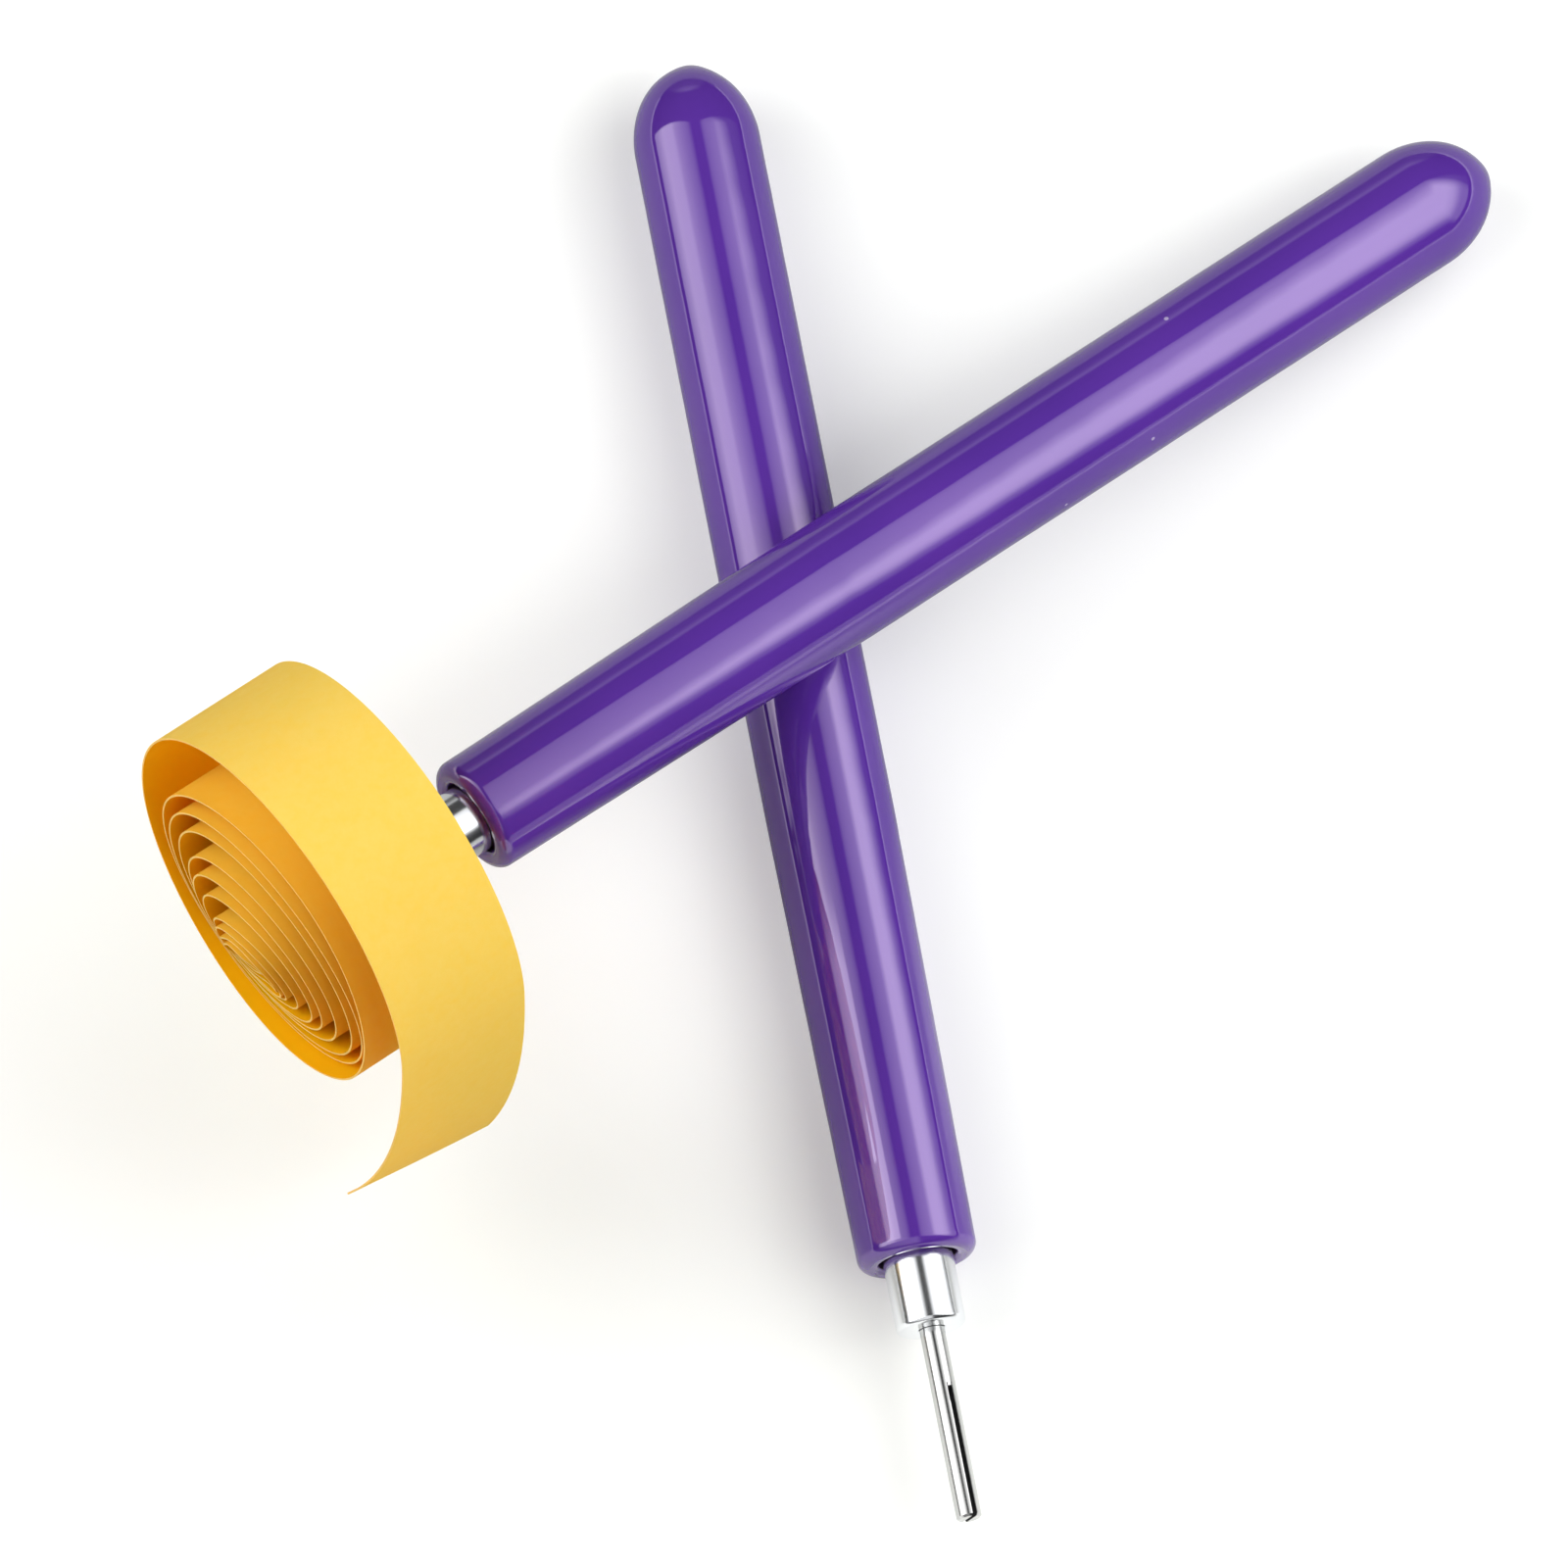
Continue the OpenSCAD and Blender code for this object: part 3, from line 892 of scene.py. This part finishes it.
def strip_tree():
    """Geometry Nodes tree that winds the strip by the rule of the part's source, and adds to it.

    The source's turns are even and end in one plane, and its tail hangs straight. Here the inner
    turns hang tilted in the outermost one, and the tail droops and is cut a little askew.

    The sheet starts as a flat grid: its x runs along the strip and its y from the front edge to
    the rear one. Each point is then set to its place across the tool and along it.
    """
    tree = bpy.data.node_groups.new("rolled_strip_rule", "GeometryNodeTree")
    inputs = (
        ("Width", STRIP_W),
        ("Thickness", STRIP_T),
        ("Turns", STRIP_TURNS),
        ("Eye Pitch", EYE_PITCH),
        ("Extra Pitch", EXTRA_PITCH),
        ("Eye Slack", EYE_SLACK),
        ("Last Turn Spring", LAST_TURN_SPRING),
        ("Tail Length", TAIL_LENGTH),
        ("Unevenness", 0.38),
        ("Telescoping", 0.14),
        ("Inner Tilt", 0.95),
        ("Inner Recess", 0.45),
        ("Tail Droop", 1.3),
        ("Tail Slant", 0.16),
    )
    for name, value in inputs:
        socket = tree.interface.new_socket(name, in_out="INPUT", socket_type="NodeSocketFloat")
        socket.default_value = value
    paper = tree.interface.new_socket("Paper", in_out="INPUT", socket_type="NodeSocketMaterial")
    tree.interface.new_socket("Strip", in_out="OUTPUT", socket_type="NodeSocketGeometry")
    nodes = Nodes(tree)
    group_in = nodes.add("NodeGroupInput")
    group_out = nodes.add("NodeGroupOutput")

    def given(name):
        return nodes.formula(group_in.outputs[name])

    grid = nodes.add(
        "GeometryNodeMeshGrid",
        Size_X=1.0, Size_Y=1.0, Vertices_X=ALONG_POINTS, Vertices_Y=ACROSS_POINTS,
    )
    position = nodes.add("GeometryNodeInputPosition")
    parts = nodes.add("ShaderNodeSeparateXYZ")
    tree.links.new(position.outputs[0], parts.inputs[0])
    share_along = nodes.formula(parts.outputs["X"]) + 0.5
    share_across = nodes.formula(parts.outputs["Y"]) + 0.5

    # How far along the strip, counted in turns: the lead, the turns and then the tail
    rolled = given("Turns") - TAIL_ANGLE / 360.0
    progress = share_along * (rolled + (LEAD_TURNS + TAIL_TURNS)) - LEAD_TURNS
    turn = progress.math("MAXIMUM", 0.0).math("MINIMUM", rolled)
    even = (turn - FIRST_TURN).math("MAXIMUM", 0.0)
    even_end = given("Turns") - (STRIP_TURNS - GROWTH_END + FIRST_TURN)
    steady = even.math("MINIMUM", even_end)
    past_eye = (steady - EYE_TURNS).math("MAXIMUM", 0.0)
    change = (past_eye / EYE_TO_OUTER_TURNS).math("MINIMUM", 1.0)
    ramped = change * change * change * (1.0 - change * 0.5) * EYE_TO_OUTER_TURNS
    after_change = (past_eye - EYE_TO_OUTER_TURNS).math("MAXIMUM", 0.0)
    growth = given("Eye Pitch") * steady + given("Extra Pitch") * (ramped + after_change)
    slack = given("Eye Slack") * (turn / SLACK_SPAN).ease()
    spring_start = given("Turns") - (STRIP_TURNS - SPRING_START)
    spring = given("Last Turn Spring") * ((turn - spring_start) / SPRING_SPAN).ease()
    radius = growth + slack + spring + EYE_R
    centre_x = CENTRE_DRIFT * growth + SPRING_DRIFT * spring
    centre_y = growth + SPRING_RISE * spring - slack - GATHER_STEP * even

    # The turns are a little uneven where they stand apart, and meet evenly where they gather.
    # The waves are in radians for each turn.
    angle = turn * (-2.0 * math.pi)
    top_share = (angle.sin() * 0.5 + 0.5) * ((turn - 1.5) / 2.5).ease()
    top_share = top_share * (1.0 - ((turn - spring_start) / 0.5).ease())
    wave = (turn * 2.094 + 3.67).sin() + 0.3 * (turn * 4.7 + 2.1).sin()
    near_eye = (1.0 - ((turn - 1.4) / 1.6).ease()) * (even * 2.5).clamp(0.0, 1.0)
    crumple = (turn * 31.0 + 0.4).sin() * 0.6 + (turn * 19.0).sin()
    uneven = given("Unevenness") * (wave * top_share + crumple * near_eye * 0.2)
    wound_x = centre_x + (radius + uneven) * angle.cos()
    wound_y = centre_y + (radius + uneven) * angle.sin()

    # The strip's start lies straight in the pin's slot and bends out of it
    tab_x = progress * TAB_PER_TURN + TAB_START
    bent = (progress / TAB_BEND_SPAN).ease()
    rolled_x = tab_x + (wound_x - tab_x) * bent
    rolled_y = wound_y * bent

    # The tail curls less than the turns, droops at its rear edge and is cut slightly askew
    tail_share = ((progress - rolled) / TAIL_TURNS).clamp(0.0, 1.0)
    tail_reach = tail_share * (1.0 - given("Tail Slant") * share_across)
    tail_start = math.radians(TAIL_ANGLE)
    tail_turn = tail_start - given("Tail Length") * tail_reach / TAIL_CURL_R
    early = ((progress - rolled) / EARLY_DROOP_SPAN + 1.0).ease() * EARLY_DROOP
    droop = (tail_share * (1.0 - EARLY_DROOP) + early) * share_across
    tail_x = (tail_turn.cos() - math.cos(tail_start)) * TAIL_CURL_R + DROOP_ASIDE * droop
    tail_y = (tail_turn.sin() - math.sin(tail_start)) * TAIL_CURL_R - given("Tail Droop") * droop

    # Neighbouring turns don't end quite in one plane
    step = ((turn * 1.9 + 0.7).sin() + 0.6 * (turn * 5.3).sin()) * (turn * 0.5).clamp(0.0, 1.0)
    step = step + (turn * 23.0).sin() * near_eye
    step = step * (1.0 - ((turn - spring_start) / 0.8).ease())

    # The inner turns hang tilted in the outermost one, deeper at the bottom right
    inner = 1.0 - ((turn - GROWTH_END + TILT_LEAD) / TILT_SPAN).ease()
    sunk = given("Inner Recess") + given("Inner Tilt") * (angle + TILT_TURN).cos()
    shift = given("Telescoping") * (step + 1.0) * 0.5 + inner * sunk
    place = STRIP_FRONT - given("Width") * share_across - shift

    # Turns under the outermost one get their light through the paper; the paper's material tints them
    # as painted light
    in_the_open = ((turn - given("Turns") + SHELTER_LEAD) / SHELTER_SPAN).ease()
    sheltered = nodes.add(
        "GeometryNodeStoreNamedAttribute",
        {"data_type": "FLOAT", "domain": "POINT"},
        Name="sheltered", Value=1.0 - in_the_open,
    )
    tree.links.new(grid.outputs["Mesh"], sheltered.inputs["Geometry"])
    point = nodes.add("ShaderNodeCombineXYZ", X=rolled_x + tail_x, Y=rolled_y + tail_y, Z=place)
    wound = nodes.add("GeometryNodeSetPosition")
    tree.links.new(sheltered.outputs["Geometry"], wound.inputs["Geometry"])
    tree.links.new(point.outputs[0], wound.inputs["Position"])

    # Thickness: the sheet moves back by half of it and is extruded by all of it
    normal = nodes.add("GeometryNodeInputNormal")
    inward = nodes.add("ShaderNodeVectorMath", {"operation": "SCALE"})
    tree.links.new(normal.outputs[0], inward.inputs[0])
    nodes.feed(inward.inputs["Scale"], given("Thickness") * -0.5)
    sheet = nodes.add("GeometryNodeSetPosition")
    tree.links.new(wound.outputs["Geometry"], sheet.inputs["Geometry"])
    tree.links.new(inward.outputs[0], sheet.inputs["Offset"])
    thick = nodes.add("GeometryNodeExtrudeMesh", {"mode": "FACES"})
    thick.inputs["Individual"].default_value = False
    tree.links.new(sheet.outputs["Geometry"], thick.inputs["Mesh"])
    nodes.feed(thick.inputs["Offset Scale"], given("Thickness"))
    edge = nodes.add(
        "GeometryNodeStoreNamedAttribute",
        {"data_type": "FLOAT", "domain": "FACE"},
        Name="cut_edge",
    )
    tree.links.new(thick.outputs["Mesh"], edge.inputs["Geometry"])
    tree.links.new(thick.outputs["Side"], edge.inputs["Value"])
    inner_side = nodes.add(
        "GeometryNodeStoreNamedAttribute",
        {"data_type": "FLOAT", "domain": "FACE"},
        Name="inner_side", Value=1.0,
    )
    tree.links.new(sheet.outputs["Geometry"], inner_side.inputs["Geometry"])
    back = nodes.add("GeometryNodeFlipFaces")
    tree.links.new(inner_side.outputs["Geometry"], back.inputs["Mesh"])
    both = nodes.add("GeometryNodeJoinGeometry")
    tree.links.new(edge.outputs["Geometry"], both.inputs[0])
    tree.links.new(back.outputs["Mesh"], both.inputs[0])
    welded = nodes.add("GeometryNodeMergeByDistance", Distance=WELD_DISTANCE)
    tree.links.new(both.outputs[0], welded.inputs["Geometry"])
    real = nodes.add("GeometryNodeRealizeInstances")
    tree.links.new(welded.outputs["Geometry"], real.inputs["Geometry"])
    painted = nodes.add("GeometryNodeSetMaterial")
    tree.links.new(real.outputs["Geometry"], painted.inputs["Geometry"])
    tree.links.new(group_in.outputs["Paper"], painted.inputs["Material"])
    tree.links.new(painted.outputs["Geometry"], group_out.inputs[0])
    return tree, {name: value for name, value in inputs}, paper.identifier


def make_strip(place, material):
    """Evaluates the strip's rule once and keeps the plain mesh."""
    tree, values, paper_socket = strip_tree()
    holder = bpy.data.objects.new("rolled_paper", bpy.data.meshes.new("rolled_paper"))
    bpy.context.scene.collection.objects.link(holder)
    modifier = holder.modifiers.new("rolled_strip_rule", "NODES")
    modifier.node_group = tree
    for item in tree.interface.items_tree:
        if item.in_out == "INPUT" and item.name in values:
            modifier[item.identifier] = values[item.name]
    modifier[paper_socket] = material
    graph = bpy.context.evaluated_depsgraph_get()
    mesh = bpy.data.meshes.new_from_object(holder.evaluated_get(graph))
    holder.modifiers.remove(modifier)
    holder.data = mesh
    mesh.transform(place.matrix())
    mesh.polygons.foreach_set("use_smooth", [True] * len(mesh.polygons))
    mesh.set_sharp_from_angle(angle=math.radians(STRIP_SHARP_ANGLE))
    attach(holder, "rolled_strip")
    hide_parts("paper_strip")


# Studio, in metres. The world's edges are parts of the direction looked in, as lines for eased().
SKEW_CENTRE = 0.35
WORLD_LEVEL = 0.03
OVERHEAD_GLOW = 0.03
OVERHEAD = (0.1, 0.4)
FRONT_EDGE = (-0.3, 0.22)
LEFT_EDGE = (0.0, 0.22)
FAR_EDGE = (0.9, 0.05)
RISING = (0.15, 0.3)
WHITE_LOW = 0.15
WHITE_RISE = 0.7
FILL_LEVEL = 2.6

# The camera that was fitted to the photograph's outlines
CAMERA_LENS = 387.7
CAMERA_PLACE = (-0.074516, -0.362603, 1.14127)
CAMERA_RIGHT = (0.98285, -0.18439, 0.0)
CAMERA_UP = (0.17536, 0.93475, 0.30902)


def level_curve(nodes, factor, points):
    """A curve through (place, level) points, as a formula."""
    highest = max(level for _, level in points)
    ramp = nodes.add("ShaderNodeValToRGB")
    elements = ramp.color_ramp.elements
    while len(elements) < len(points):
        elements.new(0.5)
    for element, (place, level) in zip(elements, points):
        element.position = place
        share = level / highest
        element.color = (share, share, share, 1.0)
    nodes.feed(ramp.inputs["Fac"], factor)
    return nodes.formula(ramp.outputs["Color"]) * highest


def soft_box(name, corner, edge_u, edge_v, layers, skew=0.0):
    """A rectangular soft box lit in layers, each with its own level curve along u and v.

    Skew shifts the curves along v with u, as on a box whose ends are cut askew.
    """
    light = bpy.data.lights.new(name, "AREA")
    light.shape = "RECTANGLE"
    u = Vector(edge_u)
    v = Vector(edge_v)
    light.size = u.length
    light.size_y = v.length
    light.energy = 1.0
    x_axis = u.normalized()
    z_axis = u.cross(v).normalized()
    y_axis = z_axis.cross(x_axis)
    middle = Vector(corner) + u / 2 + v / 2
    turn = Matrix((x_axis, y_axis, z_axis)).transposed().to_4x4()
    lamp = bpy.data.objects.new(name, light)
    lamp.matrix_world = Matrix.Translation(middle) @ turn
    lamp.visible_camera = False
    bpy.context.scene.collection.objects.link(lamp)
    light.use_nodes = True
    tree = light.node_tree
    tree.nodes.clear()
    nodes = Nodes(tree)
    geometry = nodes.add("ShaderNodeNewGeometry")
    parts = nodes.add("ShaderNodeSeparateXYZ")
    tree.links.new(geometry.outputs["Parametric"], parts.inputs[0])
    along_u = nodes.formula(parts.outputs["X"])
    along_v = nodes.formula(parts.outputs["Y"]) + (along_u - SKEW_CENTRE) * skew
    total = None
    for curve_u, curve_v in layers:
        layer = level_curve(nodes, along_u, curve_u) * level_curve(nodes, along_v, curve_v)
        total = layer if total is None else total + layer
    area = u.length * v.length
    glow = nodes.add("ShaderNodeEmission", Strength=total * (math.pi * area))
    output = nodes.add("ShaderNodeOutputLight")
    tree.links.new(glow.outputs["Emission"], output.inputs["Surface"])
    return lamp


def make_world():
    """White to the camera, and otherwise a dark studio.

    Polished pieces show it dark, as in the gaps between the photograph's highlights, and white at
    the left front and far behind.
    """
    world = bpy.data.worlds.new("studio")
    bpy.context.scene.world = world
    world.use_nodes = True
    tree = world.node_tree
    tree.nodes.clear()
    nodes = Nodes(tree)
    place = nodes.add("ShaderNodeTexCoord")
    parts = nodes.add("ShaderNodeSeparateXYZ")
    tree.links.new(place.outputs["Generated"], parts.inputs[0])
    height = nodes.formula(parts.outputs["Z"])
    level = eased(height, OVERHEAD) * OVERHEAD_GLOW + WORLD_LEVEL
    depth = nodes.formula(parts.outputs["Y"])
    sideways = nodes.formula(parts.outputs["X"])
    left_front = (1.0 - eased(depth, FRONT_EDGE)) * (1.0 - eased(sideways, LEFT_EDGE))
    far_behind = eased(depth, FAR_EDGE)
    white_level = eased(height, RISING) * WHITE_RISE + WHITE_LOW
    white_side = left_front.math("MAXIMUM", far_behind) * white_level
    path = nodes.add("ShaderNodeLightPath")
    camera = nodes.formula(path.outputs["Is Camera Ray"])
    glossy = nodes.formula(path.outputs["Is Glossy Ray"])
    level = level.math("MAXIMUM", white_side * glossy)
    strength = camera + (1.0 - camera) * level
    shade = nodes.add("ShaderNodeBackground", Color=(1.0, 1.0, 1.0, 1.0), Strength=strength)
    output = nodes.add("ShaderNodeOutputWorld")
    tree.links.new(shade.outputs["Background"], output.inputs["Surface"])


def make_studio():
    """The world, the table, and the lights: two soft boxes, a small reflector and a fill.

    Their places and levels follow the photograph's highlights. Levels are (place, level) points.
    """
    make_world()
    half = TABLE_HALF
    mesh = bpy.data.meshes.new("table_top")
    corners = [(-half, -half, 0.0), (half, -half, 0.0), (half, half, 0.0), (-half, half, 0.0)]
    mesh.from_pydata(corners, [], [(0, 1, 2, 3)])
    mesh.materials.append(white_table())
    table = bpy.data.objects.new("table_top", mesh)
    bpy.context.scene.collection.objects.link(table)
    # Left box: from low on the left to nearly overhead, with a bright core on its lower half.
    # Its lowest edge is lit only towards the rear.
    soft_box(
        "left_soft_box", (-0.525, -0.15, 0.074), (0.453, 0.0, 0.393), (0.0, 0.42, 0.0),
        layers=[
            (
                [(0.0, 0.0), (0.12, 0.0), (0.17, 1.2), (0.22, 2.6), (0.31, 3.3), (0.54, 3.2),
                 (0.62, 2.2), (0.75, 1.5), (0.9, 0.9), (1.0, 0.15)],
                [(0.0, 0.8), (0.1, 1.0), (0.95, 1.0), (1.0, 0.8)],
            ),
            (
                [(0.0, 1.4), (0.1, 1.9), (0.12, 2.0), (0.17, 1.1), (0.22, 0.0)],
                [(0.7, 0.0), (0.75, 1.0), (0.95, 1.0), (1.0, 0.8)],
            ),
        ],
    )
    # Right box: from overhead down to the right, with a bright core inside a dimmer frame
    soft_box(
        "right_soft_box", (0.06, -0.42, 0.425), (0.506, 0.0, -0.3613), (0.0, 0.66, 0.0),
        layers=[
            (
                [(0.0, 0.2), (0.056, 0.85), (0.128, 1.15), (0.216, 1.4), (0.288, 1.65),
                 (0.66, 1.55), (0.74, 1.35), (0.83, 1.0), (0.97, 0.9), (1.0, 0.8)],
                [(0.28, 0.0), (0.36, 0.6), (0.42, 1.0), (0.88, 1.0), (0.94, 0.75),
                 (0.98, 0.4), (1.0, 0.15)],
            ),
            (
                [(0.272, 0.0), (0.36, 2.0), (0.512, 2.0), (0.616, 1.4), (0.704, 0.5), (0.768, 0.0)],
                [(0.36, 0.0), (0.46, 0.9), (0.52, 1.0), (0.84, 1.0), (0.9, 0.5), (0.96, 0.05),
                 (1.0, 0.0)],
            ),
        ],
        skew=0.24,
    )
    # A small reflector between the strip and the lower mouth, seen only in the gloss
    reflector = soft_box(
        "mouth_reflector", (-0.0236, -0.0335, 0.0158), (0.0072, 0.0, 0.0086), (0.004, 0.03, 0.0053),
        layers=[(
            [(0.0, 0.6), (0.12, 1.7), (0.5, 2.1), (0.9, 2.1), (1.0, 1.6)],
            [(0.0, 1.0), (0.6, 1.0), (0.8, 0.85), (0.9, 0.4), (1.0, 0.0)],
        )],
    )
    reflector.visible_diffuse = False
    # Fill from the front right, kept out of the reflections
    fill = soft_box(
        "front_right_fill", (0.14, -0.62, 0.46), (0.36, 0.24, -0.16), (-0.12, 0.32, 0.18),
        layers=[([(0.0, 1.0), (1.0, 1.0)], [(0.0, FILL_LEVEL), (1.0, FILL_LEVEL)])],
    )
    fill.visible_glossy = False


def make_camera():
    """The photograph's view: a long lens, steeply from above and a little turned."""
    data = bpy.data.cameras.new("photo_view")
    data.sensor_width = 36.0
    data.lens = CAMERA_LENS
    data.clip_start = 0.05
    data.clip_end = 20.0
    camera = bpy.data.objects.new("photo_view", data)
    right = Vector(CAMERA_RIGHT).normalized()
    up = Vector(CAMERA_UP).normalized()
    back = right.cross(up)
    turn = Matrix((right, up, back)).transposed().to_4x4()
    camera.matrix_world = Matrix.Translation(Vector(CAMERA_PLACE)) @ turn
    bpy.context.scene.collection.objects.link(camera)
    bpy.context.scene.camera = camera


def main():
    bpy.context.scene.view_settings.view_transform = "Standard"
    materials = {
        "purple_vinyl": purple_vinyl(),
        "chrome_plate": chrome_plate(),
        "polished_steel": polished_steel(),
        "core_aluminium": core_aluminium(),
        "yellow_paper": yellow_paper(),
    }
    lower, upper = tool_places()
    make_tool("lower", lower, materials, (1.0, 0.0), LOWER_SLOT_TURN)
    make_tool("upper", upper, materials, (1.0, 0.0), 0.0, UPPER_MOUTH_PLACE)
    make_strip(upper, materials["yellow_paper"])
    make_studio()
    make_camera()


main()
